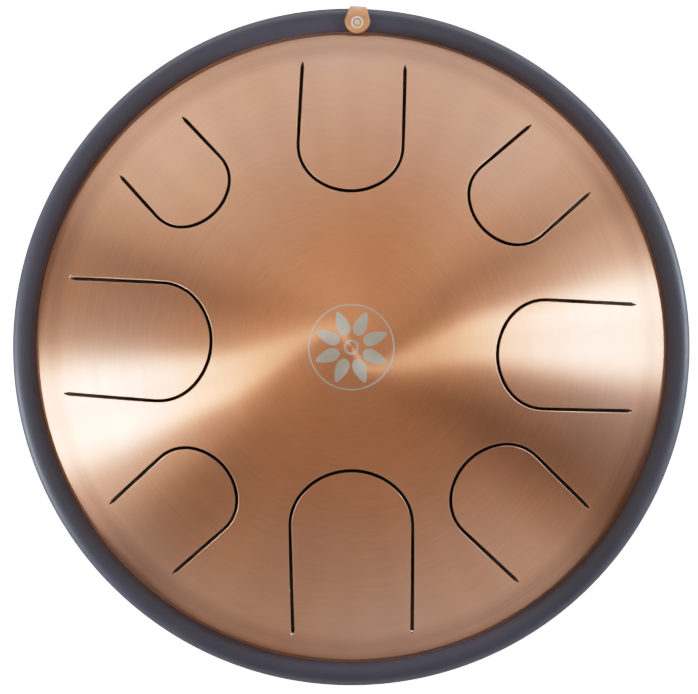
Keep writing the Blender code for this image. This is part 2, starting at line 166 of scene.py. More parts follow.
class Parts:
    """A mesh under construction, with a normal at each corner of each face."""

    def __init__(self):
        self.points, self.faces, self.normals, self.slots = [], [], [], []

    def add_points(self, points):
        first = len(self.points)
        self.points.extend(points)
        return list(range(first, len(self.points)))

    def add_face(self, face, normals, slot):
        """normals has one entry per corner, or is None for a flat face."""
        self.faces.append(tuple(face))
        self.normals.append(normals)
        self.slots.append(slot)

    def add_strip(self, line_a, line_b, normals_a, normals_b, slot, flip):
        for i in range(len(line_a) - 1):
            face = [line_a[i], line_a[i + 1], line_b[i + 1], line_b[i]]
            normals = [normals_a[i], normals_a[i + 1], normals_b[i + 1], normals_b[i]]
            if flip:
                face, normals = face[::-1], normals[::-1]
            self.add_face(face, normals, slot)

    def build(self, name, materials):
        mesh = bpy.data.meshes.new(name)
        mesh.from_pydata([tuple(map(float, p)) for p in self.points], [], self.faces)
        face_outwards(mesh)
        for material in materials:
            mesh.materials.append(material)
        mesh.polygons.foreach_set("material_index", np.asarray(self.slots, np.int32))
        mesh.polygons.foreach_set("use_smooth", np.ones(len(mesh.polygons), bool))
        mesh.update()
        corners = []
        for polygon, face, normals in zip(mesh.polygons, self.faces, self.normals):
            if normals is None:
                corners.extend([tuple(polygon.normal)] * len(face))
                continue
            # the face may have been reversed, so its normals are found by vertex
            by_vertex = dict(zip(face, normals))
            corners.extend([tuple(map(float, by_vertex[v])) for v in polygon.vertices])
        mesh.normals_split_custom_set(corners)
        return add_object(name, mesh)


def attach(ob, replaced=None):
    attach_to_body(ob, "drum")
    if replaced:
        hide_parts(replaced)


# ------------------------------------------------------------------ shader helpers
def operator(kind, swapped=False):
    def apply(value, other):
        pair = (other, value) if swapped else (value, other)
        return value.mat.math(kind, *pair)
    return apply


class Value:
    """A shader output; arithmetic on it adds Math nodes."""

    def __init__(self, mat, socket):
        self.mat, self.socket = mat, socket

    __add__ = operator("ADD")
    __sub__ = operator("SUBTRACT")
    __rsub__ = operator("SUBTRACT", swapped=True)
    __mul__ = operator("MULTIPLY")
    __truediv__ = operator("DIVIDE")
    __rtruediv__ = operator("DIVIDE", swapped=True)
    __pow__ = operator("POWER")


class Material:
    def __init__(self, name):
        self.material = bpy.data.materials.new(name)
        self.material.use_nodes = True
        self.tree = self.material.node_tree
        self.count = 0

    def node(self, kind, **settings):
        node = self.tree.nodes.new(kind)
        for key, value in settings.items():
            setattr(node, key, value)
        self.count += 1
        node.location = (-260 * (1 + self.count // 6), -180 * (self.count % 6))
        return node

    def put(self, socket, value):
        """Links a Value, or sets a number or a colour, whose alpha is 1."""
        if isinstance(value, Value):
            self.tree.links.new(value.socket, socket)
        elif hasattr(socket.default_value, "__len__"):
            missing = len(socket.default_value) - len(value)
            socket.default_value = list(value) + [1.0] * missing
        else:
            socket.default_value = value

    def output(self, kind, inputs=None, result=0, **settings):
        """Adds a node, fills its inputs and gives one output."""
        node = self.node(kind, **settings)
        for key, value in (inputs or {}).items():
            self.put(node.inputs[key], value)
        return Value(self, node.outputs[result])

    def math(self, kind, *values):
        return self.output("ShaderNodeMath", dict(enumerate(values)), operation=kind)

    def noise(self, vector, scale, detail, roughness, distortion=0.0):
        inputs = {"Vector": vector, "Scale": scale, "Detail": detail,
                  "Roughness": roughness, "Distortion": distortion}
        return self.output("ShaderNodeTexNoise", inputs, "Fac")

    def remap(self, value, over=(0.3, 0.7), to=(0.0, 1.0), smooth=False):
        """Takes the range over to the range to, clamped."""
        inputs = {"Value": value, "From Min": over[0], "From Max": over[1],
                  "To Min": to[0], "To Max": to[1]}
        return self.output("ShaderNodeMapRange", inputs, "Result", clamp=True,
                           interpolation_type="SMOOTHSTEP" if smooth else "LINEAR")

    def mix(self, factor, first, second, mode="MIX"):
        return self.output("ShaderNodeMix", {0: factor, 6: first, 7: second}, 2,
                           data_type="RGBA", blend_type=mode)

    def blend(self, value, first, second, over=(0.3, 0.7), smooth=False):
        """Goes from one colour to another as value crosses the range over."""
        return self.mix(self.remap(value, over, smooth=smooth), first, second)

    def multiply(self, first, second):
        return self.mix(1.0, first, second, "MULTIPLY")

    def combine(self, x, y, z):
        return self.output("ShaderNodeCombineXYZ", {0: x, 1: y, 2: z})

    def bump(self, height, strength, distance):
        inputs = {"Strength": strength, "Distance": distance, "Height": height}
        return self.output("ShaderNodeBump", inputs)

    def position(self):
        return self.output("ShaderNodeNewGeometry", result="Position")

    def axes(self, vector):
        node = self.node("ShaderNodeSeparateXYZ")
        self.put(node.inputs[0], vector)
        return [Value(self, socket) for socket in node.outputs]

    def polar(self):
        """Position, radius, the outward direction's x and y, and z."""
        position = self.position()
        x, y, z = self.axes(position)
        radius = self.math("SQRT", x * x + y * y)
        safe = self.math("MAXIMUM", radius, 1e-5)
        return position, radius, x / safe, y / safe, z

    def round_lines(self, cosine, sine, across, along, fineness, detail, roughness):
        """Seamless lines round the drum: along sets their breaks, fineness their pitch."""
        vector = self.combine(cosine * along, sine * along, across * fineness)
        return self.noise(vector, scale=1.0, detail=detail, roughness=roughness)

    def finish(self, inputs):
        shader = self.tree.nodes["Principled BSDF"]
        for key, value in inputs.items():
            self.put(shader.inputs[key], value)
        return self.material


# ------------------------------------------------------------------ materials (lengths in metres)
WHITE = (1.0, 1.0, 1.0)
# soft patches of tint and of painted light and shade, the cool ones on the bright lobes painting
# their highlights paler: azimuth, radius, spread in degrees, spread in metres, colour factor
TINT_AND_PAINTED_SHADE_PATCHES = [
    (-30.0, 0.136, 12.0, 0.048, (0.96, 0.76, 0.58)),
    (-50.0, 0.070, 16.0, 0.022, (0.92, 0.88, 0.85)),
    (-130.0, 0.146, 10.0, 0.018, (1.08, 1.08, 1.07)),
    (-132.0, 0.112, 15.0, 0.035, (1.04, 0.96, 0.85)),
    (168.0, 0.140, 12.0, 0.032, (1.05, 0.96, 0.86)),
    (2.0, 0.100, 13.0, 0.036, (0.93, 1.02, 1.10)),
    (-168.0, 0.102, 13.0, 0.032, (0.91, 1.02, 1.14)),
    (82.0, 0.088, 30.0, 0.026, (0.95, 0.99, 1.09)),
    (-85.0, 0.066, 32.0, 0.026, (0.94, 0.98, 1.07)),
    (5.0, 0.046, 22.0, 0.020, (0.98, 0.92, 0.84)),
]


def across_the_brush(mat, radius, cosine, sine):
    """The direction across the brush lines: outwards, but turned near the centre in a swirl."""
    swirl_radius, smallest_radius, swirl_gain = 0.062, 0.012, 0.274
    turn = (swirl_radius / mat.math("MAXIMUM", radius, smallest_radius) - 1.0) * swirl_gain
    turn = mat.math("MAXIMUM", turn, 0.0)
    turn_cos, turn_sin = mat.math("COSINE", turn), mat.math("SINE", turn)
    return mat.combine(cosine * turn_cos - sine * turn_sin,
                       cosine * turn_sin + sine * turn_cos, 0.0)


def add_tints_and_painted_shade(mat, base, radius, cosine, sine):
    for azimuth, place, turn, width, colour in TINT_AND_PAINTED_SHADE_PATCHES:
        angle = math.radians(azimuth)
        facing = cosine * math.cos(angle) + sine * math.sin(angle)
        away = (1.0 - facing) * (2.0 / math.radians(turn) ** 2)
        outwards = ((radius - place) / width) ** 2.0
        weight = mat.math("EXPONENT", (away + outwards) * -1.0)
        base = mat.multiply(base, mat.mix(weight, WHITE, colour))
    return base


def brushed_copper(name, colours, roughness, anisotropy, grain):
    """Steel brushed round the drum; grain scales the contrast of the brush lines."""
    mat = Material(name)
    position, radius, cosine, sine, _ = mat.polar()
    coarse = mat.round_lines(cosine, sine, radius, along=4.0, fineness=1500.0,
                             detail=3.0, roughness=0.62)
    fine = mat.round_lines(cosine, sine, radius, along=9.0, fineness=5200.0,
                           detail=2.0, roughness=0.6)
    band = mat.round_lines(cosine, sine, radius, along=1.6, fineness=190.0,
                           detail=3.0, roughness=0.55)
    cloud = mat.noise(position, scale=17.0, detail=3.0, roughness=0.55)
    tint = mat.noise(position, scale=7.0, detail=2.0, roughness=0.5)
    lines = coarse * 0.6 + fine * 0.4
    base = mat.blend(tint, *colours, over=(0.35, 0.65))
    # painted sheen: warmer towards the middle, cooler and paler towards the rim, where the steeper
    # dome shows a paler reflection
    waver = mat.noise(position, scale=11.0, detail=2.0, roughness=0.5)
    drift = radius + mat.remap(waver, to=(-0.008, 0.008))
    warm, cool = (1.119, 0.94, 0.743), (0.984, 1.07, 1.124)
    base = mat.multiply(base, mat.blend(drift, warm, cool, over=(0.040, 0.135), smooth=True))
    # tint blotches and painted light and shade, in soft patches
    base = add_tints_and_painted_shade(mat, base, radius, cosine, sine)
    shade = (mat.remap(lines, to=(-0.08 * grain, 0.08 * grain))
             + mat.remap(cloud, to=(-0.035, 0.035))
             + mat.remap(band, to=(-0.02, 0.02))
             # painted shade: a darker line where the dome bends towards its flange, and painted
             # light on the band just outside it
             + mat.remap(radius, over=(0.1415, 0.1495), to=(0.0, -0.19), smooth=True)
             + mat.remap(radius, over=(0.1503, 0.1535), to=(0.0, 0.09), smooth=True))
    gain = shade + 1.0
    grey = mat.output("ShaderNodeCombineColor", {0: gain, 1: gain, 2: gain})
    return mat.finish({
        "Base Color": mat.multiply(base, grey),
        "Metallic": 1.0,
        "Roughness": mat.remap(coarse * 0.5 + band * 0.5,
                               to=(roughness - 0.035, roughness + 0.035)),
        "Anisotropic": mat.remap(radius, over=(0.010, 0.075),
                                 to=(anisotropy - 0.15, anisotropy), smooth=True),
        "Tangent": across_the_brush(mat, radius, cosine, sine),
        "Normal": mat.bump(lines, strength=0.35, distance=0.00005),
    })


def etched_steel():
    mat = Material("etched_steel")
    position, radius, cosine, sine, _ = mat.polar()
    fine = mat.noise(position, scale=2600.0, detail=2.0, roughness=0.6)
    coarse = mat.noise(position, scale=130.0, detail=2.0, roughness=0.5)
    return mat.finish({
        "Base Color": mat.blend(coarse, (0.62, 0.565, 0.49), (0.70, 0.62, 0.53),
                                over=(0.35, 0.65)),
        "Metallic": 1.0,
        "Roughness": mat.remap(fine, to=(0.46, 0.58)),
        "Anisotropic": 0.5,
        "Tangent": across_the_brush(mat, radius, cosine, sine),
        "Normal": mat.bump(fine, strength=0.3, distance=0.00003),
    })


def grained(name, colours, roughness, scale, strength, distance,
            metallic=0.0, detail=3.0, grain=0.6, cloud_scale=None):
    """A plain material with noise in colour, roughness and relief.

    With a cloud_scale, colour and roughness follow a separate, softer noise.
    """
    mat = Material(name)
    position = mat.position()
    fine = mat.noise(position, scale=scale, detail=detail, roughness=grain)
    soft = fine
    if cloud_scale:
        soft = mat.noise(position, scale=cloud_scale, detail=3.0, roughness=0.55)
    return mat.finish({
        "Base Color": mat.blend(soft, *colours),
        "Metallic": metallic,
        "Roughness": mat.remap(soft, to=roughness),
        "Normal": mat.bump(fine, strength=strength, distance=distance),
    })


def cut_wall():
    """The laser-cut side of the sheet: darker, with fine striations through the thickness."""
    mat = Material("laser_cut_side")
    x, y, z = mat.axes(mat.position())
    fine = mat.noise(mat.combine(x * 1500.0, y * 1500.0, z * 160.0),
                     scale=1.0, detail=2.0, roughness=0.6)
    return mat.finish({
        "Base Color": mat.blend(fine, (0.045, 0.030, 0.022), (0.080, 0.052, 0.036)),
        "Metallic": 1.0,
        "Roughness": 0.5,
        "Normal": mat.bump(fine, strength=0.4, distance=0.00005),
    })


def ring_rubber():
    mat = Material("ring_rubber")
    position, radius, cosine, sine, z = mat.polar()
    fine = mat.noise(position, scale=1500.0, detail=3.0, roughness=0.6)
    soft = mat.noise(position, scale=45.0, detail=3.0, roughness=0.55)
    drawn = mat.round_lines(cosine, sine, radius + z * 0.7, along=5.0, fineness=420.0,
                            detail=2.0, roughness=0.5)
    base = mat.blend(soft, (0.038, 0.034, 0.051), (0.044, 0.040, 0.059))
    # painted light: the inner slope, which faces the dome, is made a little paler
    inner_slope_painted_light = mat.blend(radius, (1.50, 1.45, 1.38), WHITE, over=(0.1590, 0.1655), smooth=True)
    return mat.finish({
        "Base Color": mat.multiply(base, inner_slope_painted_light),
        "Roughness": mat.remap(soft * 0.6 + drawn * 0.4, to=(0.42, 0.54)),
        "Specular IOR Level": 0.45,
        "Sheen Weight": 0.06,
        "Sheen Roughness": 0.5,
        "Normal": mat.bump(fine * 0.6 + drawn * 0.7, strength=0.25, distance=0.00006),
    })


def worn_leather(mat, x, y, soft, pores):
    """Colour of the leather's face, by its place on the tag."""
    base = mat.blend(soft, (0.71, 0.262, 0.102), (0.87, 0.338, 0.142))
    in_pores = mat.remap(pores, over=(0.0, 1.0), to=(0.35, 0.0))
    base = mat.mix(in_pores, base, (0.46, 0.17, 0.055))
    # painted sheen: paler and greyer where the strap turns over the ring's outer edge
    fold_painted_sheen = mat.remap(y, over=(0.1700, 0.1714), to=(0.0, 0.8))
    base = mat.mix(fold_painted_sheen, base, (0.62, 0.50, 0.44))
    # painted light over the sloping end, which faces the middle, painted shade where it bends, and
    # painted light again towards the fold
    for start, end, over in (((1.21, 1.30, 1.26), (0.86, 0.88, 0.90), (0.1595, 0.1642)),
                             (WHITE, (1.10, 1.08, 1.10), (0.1652, 0.1680))):
        base = mat.multiply(base, mat.blend(y, start, end, over=over, smooth=True))
    # darker along its cut edge, which leans with the tag: partly the edge's own dark polish, partly
    # painted shade where the edge stands off the ring
    lean = -0.0523
    along = y - TAG_Y
    across = x + -TAG_X + along * lean
    width = mat.math("MAXIMUM", TAG_LOBE - mat.math("MAXIMUM", along, 0.0) * TAG_TAPER, TAG_NECK)
    rim = (across / width) ** 2.0 + (mat.math("MINIMUM", along, 0.0) / TAG_TIP) ** 2.0
    burnish_and_painted_shade = mat.remap(rim, over=(0.87, 0.96), to=(0.0, 0.85), smooth=True)
    return mat.mix(burnish_and_painted_shade, base, (0.24, 0.070, 0.024))


def leather(name, cut=False):
    mat = Material(name)
    position = mat.position()
    cells = mat.output("ShaderNodeTexVoronoi", {"Vector": position, "Scale": 2300.0},
                       "Distance", feature="F1")
    pebble = mat.noise(position, scale=1500.0, detail=3.0, roughness=0.6, distortion=0.6)
    soft = mat.noise(position, scale=260.0, detail=3.0, roughness=0.6)
    pores = mat.remap(cells, over=(0.0, 0.9))
    if cut:
        base = mat.blend(soft, (0.46, 0.20, 0.085), (0.60, 0.30, 0.15))
    else:
        x, y, _ = mat.axes(position)
        base = worn_leather(mat, x, y, soft, pores)
    return mat.finish({
        "Base Color": base,
        "Roughness": mat.remap(pebble, to=(0.46, 0.64)),
        "Sheen Weight": 0.08,
        "Normal": mat.bump(pores * 0.5 + pebble * 0.6, strength=0.45, distance=0.00008),
    })


def stamp_ink():
    mat = Material("stamp_ink")
    wear = mat.noise(mat.position(), scale=1700.0, detail=3.0, roughness=0.6)
    return mat.finish({
        "Base Color": mat.blend(wear, (0.84, 0.66, 0.50), (0.97, 0.93, 0.86),
                                over=(0.35, 0.55)),
        "Roughness": 0.5,
        "Normal": mat.bump(wear, strength=0.3, distance=0.00005),
    })


COPPER = brushed_copper("brushed_copper_steel", ((0.802, 0.352, 0.200), (0.724, 0.359, 0.240)),
                        roughness=0.42, anisotropy=0.985, grain=1.0)
INSIDE = brushed_copper("inner_steel", ((0.40, 0.25, 0.17), (0.36, 0.24, 0.17)),
                        roughness=0.5, anisotropy=0.4, grain=0.6)
ETCHED = etched_steel()
# the bright, finely scratched edge of a slot
EDGE = grained("deburred_edge", ((0.52, 0.30, 0.19), (0.66, 0.40, 0.27)), (0.34, 0.50),
               scale=1800.0, strength=0.2, distance=0.00003, metallic=1.0, detail=2.0)
WALL = cut_wall()
# untinted metal thrown up by the laser
BURR = grained("bare_burr_steel", ((0.78, 0.74, 0.68), (0.95, 0.92, 0.86)), (0.25, 0.45),
               scale=2400.0, strength=0.2, distance=0.00003, metallic=0.35)
RING_RUBBER = ring_rubber()
FOOT_RUBBER = grained("foot_rubber", ((0.016, 0.016, 0.018), (0.026, 0.026, 0.028)),
                      (0.58, 0.72), scale=1300.0, strength=0.35, distance=0.00008,
                      cloud_scale=120.0)
ZINC = grained("zinc_plate", ((0.55, 0.56, 0.56), (0.70, 0.69, 0.66)), (0.24, 0.40),
               scale=900.0, strength=0.15, distance=0.00004, metallic=1.0)
BOND = grained("cured_adhesive", ((0.22, 0.20, 0.17), (0.30, 0.28, 0.24)), (0.35, 0.5),
               scale=220.0, strength=0.3, distance=0.0001, grain=0.55)
LEATHER = leather("tan_leather")
LEATHER_EDGE = leather("leather_cut_edge", cut=True)
INK = stamp_ink()

# ------------------------------------------------------------------ the tongues' slots
CAD_SLOT = 1.4 * MM
SLOT = 1.62 * MM          # with the rounded-over edges that the CAD leaves out
LEG_EXTRA = 0.13          # share by which a slot widens along its legs
BEVEL = 0.17 * MM
SHOULDER = 0.84           # radius where a leg runs into the arc, over the tongue's half-width
TAIL = 2.4 * MM           # a slot narrows over this length at each end
TAIL_HALF = 0.36 * MM
TAIL_PAST_ROOT = 0.45     # share of the tail beyond the root
ARC_STEPS = 56
LEG_STEPS = 14
CORNER_STEPS = 6
CAP_STEPS = 12
ROOT_POINTS = 24
# how far the tip arc's radius exceeds the tongue's half-width, in mm
EASE = {"tongue_north": 2.2, "tongue_northeast": 2.6, "tongue_east": 2.7,
        "tongue_southeast": 2.1, "tongue_south": 1.4, "tongue_southwest": 2.2,
        "tongue_west": 2.0, "tongue_northwest": 2.6}
INNER, OUTER = 0, 1       # sides of a slot: the tongue's and the shell's


class Tongue:
    """A tongue and its slot, in plan: u runs outwards along the tongue, v across it."""

    def __init__(self, name):
        self.name = name
        joint = next(j for j in cad["joints"] if j["child"] == name)
        axis = Vector(joint["axis"])
        self.anchor = np.array(Vector(joint["pos_m"]))
        azimuth = math.atan2(axis.x, -axis.y)
        self.along = np.array([math.cos(azimuth), math.sin(azimuth)])
        self.across = np.array([-self.along[1], self.along[0]])
        plan = np.array([p.co for p in NODES[name].data.vertices])[:, :2]
        u, v = plan @ self.along, plan @ self.across
        self.root = float(self.anchor[:2] @ self.along)
        self.shift = float(v.max() + v.min()) / 2
        self.half = float(v.max() - v.min()) / 2 + CAD_SLOT / 2
        self.tip = float(u.min()) - CAD_SLOT / 2
        self.radius = self.half + EASE[name] * MM
        self.fillet = SHOULDER * self.half
        self.centre = self.tip + self.radius
        # centre of the fillet between leg and arc
        self.fillet_reach = self.radius - self.fillet
        self.fillet_v = self.half - self.fillet
        self.fillet_u = self.centre - math.sqrt(self.fillet_reach ** 2 - self.fillet_v ** 2)
        # outlines at the sheet's face
        self.inner, self.outer = self.sides(BEVEL)
        self.root_line = np.linspace(self.inner[0], self.inner[-1], ROOT_POINTS)[1:-1]
        self.hole = np.vstack([self.inner, self.outer[::-1][1:-1]])
        self.plate = np.vstack([self.inner, self.root_line[::-1]])

    def world(self, points):
        p = np.asarray(points, float)
        return p[:, :1] * self.along + (p[:, 1:] + self.shift) * self.across

    def half_width(self, u):
        tail = np.clip((u - (self.root - TAIL * (1 - TAIL_PAST_ROOT))) / TAIL, 0, 1)
        tail = tail * tail * (3 - 2 * tail)
        # the legs were cut a little wider than the arc
        leg = np.clip((u - self.fillet_u) / (0.3 * (self.root - self.fillet_u)), 0, 1)
        wide = SLOT / 2 * (1 + LEG_EXTRA * leg * leg * (3 - 2 * leg))
        return wide * (1 - tail) + TAIL_HALF * tail

    def side(self, sign, extra):
        """Leg, arc, leg: one side of the slot from root to root.

        sign is -1 inside and +1 outside; extra widens the slot.
        """
        shift = sign * (SLOT / 2 + extra)
        radius, fillet = self.radius + shift, self.fillet + shift
        sweep = math.asin(self.fillet_v / self.fillet_reach)
        stops = [self.root - TAIL * k for k in (0.0, 0.15, 0.3, 0.45, 0.6)]
        stops += [stops[-1] + (self.fillet_u - stops[-1]) * i / LEG_STEPS
                  for i in range(1, LEG_STEPS)]
        leg = [(u, self.half + sign * (self.half_width(u) + extra)) for u in stops]
        for i in range(CORNER_STEPS):
            a = math.pi / 2 + (math.pi / 2 - sweep) * i / CORNER_STEPS
            leg.append((self.fillet_u + fillet * math.cos(a),
                        self.fillet_v + fillet * math.sin(a)))
        arc = []
        for i in range(ARC_STEPS + 1):
            a = -sweep + 2 * sweep * i / ARC_STEPS
            arc.append((self.centre - radius * math.cos(a), radius * math.sin(a)))
        return [(u, -v) for u, v in leg] + arc + leg[::-1]

    def cap(self, extra):
        """Round the slot's end at positive v, from its inner side to its outer side."""
        def beside(sign, share):
            u = self.root + TAIL * share
            return u, self.half + sign * (self.half_width(u) + extra)

        end, radius = self.root + TAIL * TAIL_PAST_ROOT, TAIL_HALF + extra
        points = [beside(-1, 0.2), beside(-1, 0.45)]
        for i in range(1, CAP_STEPS):
            a = -math.pi / 2 + math.pi * i / CAP_STEPS
            points.append((end + radius * math.cos(a), self.half + radius * math.sin(a)))
        return points + [beside(1, 0.45), beside(1, 0.2)]

    def sides(self, extra):
        """Inner and outer path, both from the leg at negative v, sharing their end points."""
        inner = self.side(-1, extra)
        cap = self.cap(extra)
        outer = [inner[0], *[(u, -v) for u, v in cap], *self.side(+1, extra),
                 *cap[::-1], inner[-1]]
        return self.world(inner), self.world(outer)


TONGUES = [Tongue(name) for name in sorted(n for n in NODES if n.startswith("tongue_"))]


# ------------------------------------------------------------------ top dome and tongue blades
def rosette():
    """The laser-etched centre: outlines of the leaves, and rings as (outside, inside)."""
    leaf_r, half_length, half_width, narrowing = 12.2 * MM, 6.0 * MM, 2.9 * MM, 0.42
    leaves = []
    for k in range(8):
        turn = math.pi / 8 + k * math.pi / 4
        leaf = []
        for i in range(24):
            a = 2 * math.pi * i / 24
            out = leaf_r + half_length * math.cos(a)
            side = half_width * math.sin(a) * (1.0 - narrowing * math.cos(a))
            leaf.append((out * math.cos(turn) - side * math.sin(turn),
                         out * math.sin(turn) + side * math.cos(turn)))
        leaves.append(leaf)
    return leaves, [(circle(3.6 * MM, 40), circle(2.5 * MM, 32)),
                    (circle(20.6 * MM, 128), circle(19.9 * MM, 124))]


def inside(points, outline):
    """Which points lie inside a closed polygon."""
    start = np.asarray(outline, float)
    end = np.roll(start, -1, axis=0)
    x, y = points[:, 0][:, None], points[:, 1][:, None]
    x1, y1, x2, y2 = start[:, 0][None], start[:, 1][None], end[:, 0][None], end[:, 1][None]
    spans = (y1 > y) != (y2 > y)
    with np.errstate(divide="ignore", invalid="ignore"):
        crosses = x < (x2 - x1) * (y - y1) / (y2 - y1) + x1
    return (np.sum(spans & crosses, axis=1) % 2) == 1


def near(points, outline, distance):
    """Which points lie within distance of a closed polyline."""
    start = np.asarray(outline, float)
    edge = np.roll(start, -1, axis=0) - start
    length2 = (edge ** 2).sum(1) + 1e-18
    low, high = start.min(0) - distance, start.max(0) + distance
    candidates = np.nonzero(((points >= low) & (points <= high)).all(1))[0]
    some = points[candidates]
    share = np.clip(((some[:, None] - start[None]) * edge[None]).sum(2) / length2, 0, 1)
    foot = start[None] + edge[None] * share[:, :, None]
    found = np.zeros(len(points), bool)
    found[candidates] = ((foot - some[:, None]) ** 2).sum(2).min(1) < distance * distance
    return found


GRID_STEP = 2.85 * MM
RIM_COUNT = 360
DOME_RINGS = np.linspace(2.6, 147.4, 53) * MM
KNUCKLE_RINGS = [r * MM for r in (149.2, 150.9, 152.5, 154.0, 155.1, 155.55, 156.0, 156.45,
                                  156.9, 157.3, 157.7, 159.0, 161.5, 163.8)]


def grid_points(leaves, rings):
    """Staggered rings of points over the dome, clear of slots, roots and etching."""
    counts = [max(8, int(round(2 * math.pi * r / GRID_STEP))) for r in DOME_RINGS]
    grid = [(0.0, 0.0)]
    for radii, numbers in ((DOME_RINGS, counts), (KNUCKLE_RINGS, [RIM_COUNT] * 14)):
        for i, (radius, number) in enumerate(zip(radii, numbers)):
            grid += circle(radius, number, turn=0.5 * (i % 2))
    grid = np.array(grid)
    keep = np.ones(len(grid), bool)
    for t in TONGUES:
        root = np.vstack([t.inner[:1], t.root_line, t.inner[-1:], t.root_line[::-1]])
        keep &= ~inside(grid, t.hole) & ~near(grid, t.hole, 1.1 * MM) & ~near(grid, root, 1.1 * MM)
    for leaf in leaves:
        keep &= ~near(grid, leaf, 0.55 * MM)
    for pair in rings:
        for outline in pair:
            keep &= ~near(grid, outline, 0.6 * MM)
    return grid[keep]


class Plan:
    """Points and fixed lines of the top, seen from above."""

    def __init__(self):
        self.points, self.lines = [], []

    def add(self, path, closed=False, ends=None):
        """Adds a line; ends are the numbers of existing points to join it to."""
        first = len(self.points)
        self.points.extend(tuple(p) for p in path)
        ids = list(range(first, len(self.points)))
        if ends:
            ids = [ends[0], *ids, ends[1]]
        self.lines.extend(zip(ids, ids[1:]))
        if closed:
            self.lines.append((ids[-1], ids[0]))
        return ids


TOP_MATERIALS = [COPPER, ETCHED, EDGE, WALL, INSIDE]
COPPER_SLOT, ETCHED_SLOT, EDGE_SLOT, WALL_SLOT, INSIDE_SLOT = range(5)


class TopSheet:
    """The triangulated top, from which the shell and the blades are taken."""

    def __init__(self):
        leaves, rings = rosette()
        plan = Plan()
        plan.points = [tuple(p) for p in grid_points(leaves, rings)]
        self.rim = plan.add(circle(FLANGE_R, RIM_COUNT), closed=True)
        for t in TONGUES:
            inner = plan.add(t.inner)
            ends = (inner[0], inner[-1])
            t.side_ids = (inner, plan.add(t.outer[1:-1], ends=ends))
            t.root_ids = plan.add(t.root_line, ends=ends)
        for leaf in leaves:
            plan.add(leaf, closed=True)
        for outer, inner in rings:
            plan.add(outer, closed=True)
            plan.add(inner, closed=True)
        self.triangulate(plan)

        middle = self.plan[self.triangles].mean(1)
        # 0 is the shell, k + 1 tongue k, -1 cut away
        self.region = np.zeros(len(self.triangles), int)
        for k, t in enumerate(TONGUES):
            self.region[inside(middle, t.hole)] = -1
            self.region[inside(middle, t.plate) & (self.region == 0)] = k + 1
        self.region[np.hypot(middle[:, 0], middle[:, 1]) > FLANGE_R] = -1
        self.etched = np.zeros(len(self.triangles), bool)
        for leaf in leaves:
            self.etched |= inside(middle, leaf)
        for outer, inner in rings:
            self.etched |= inside(middle, outer) & ~inside(middle, inner)
        self.top, self.top_normals = on_sheet(self.plan, SHEET / 2)
        self.low, upward = on_sheet(self.plan, -SHEET / 2)
        self.low_normals = -upward

    def triangulate(self, plan):
        """Sets plan (x, y), triangles and vertex_of; works in millimetres."""
        scaled = [Vector((x * 1000, y * 1000)) for x, y in plan.points]
        points, _, faces, origins, *_ = delaunay_2d_cdt(scaled, plan.lines, [], 0, 1e-6, True)
        self.vertex_of = {old: new for new, olds in enumerate(origins) for old in olds}
        self.plan = np.array([tuple(p) for p in points]) / 1000
        triangles = np.array([tuple(f) for f in faces if len(f) == 3], int)
        a, b, c = (self.plan[triangles[:, k]] for k in range(3))
        area = (b[:, 0] - a[:, 0]) * (c[:, 1] - a[:, 1]) - (b[:, 1] - a[:, 1]) * (c[:, 0] - a[:, 0])
        triangles[area < 0] = triangles[area < 0][:, ::-1]
        self.triangles = triangles

    def piece(self, region, tongues, side):
        """Both faces of one region, with its side of the given tongues' slots.

        Also gives a function from plan ids to the piece's vertices, and the step from a
        vertex on top to the one below it.
        """
        parts = Parts()
        chosen = self.region == region
        used = np.unique(self.triangles[chosen])
        index = {int(v): i for i, v in enumerate(used)}
        below = len(used)
        parts.add_points(self.top[used])
        parts.add_points(self.low[used])
        for triangle, etched in zip(self.triangles[chosen], self.etched[chosen]):
            face = [index[int(v)] for v in triangle]
            parts.add_face(face, self.top_normals[triangle],
                           ETCHED_SLOT if etched else COPPER_SLOT)
            parts.add_face([v + below for v in reversed(face)],
                           self.low_normals[triangle[::-1]], INSIDE_SLOT)

        def vertices(ids):
            return [index[self.vertex_of[i]] for i in ids]

        for t in tongues:
            add_cut(parts, t, side, vertices(t.side_ids[side]), vertices(t.root_ids), below)
        return parts, vertices, below


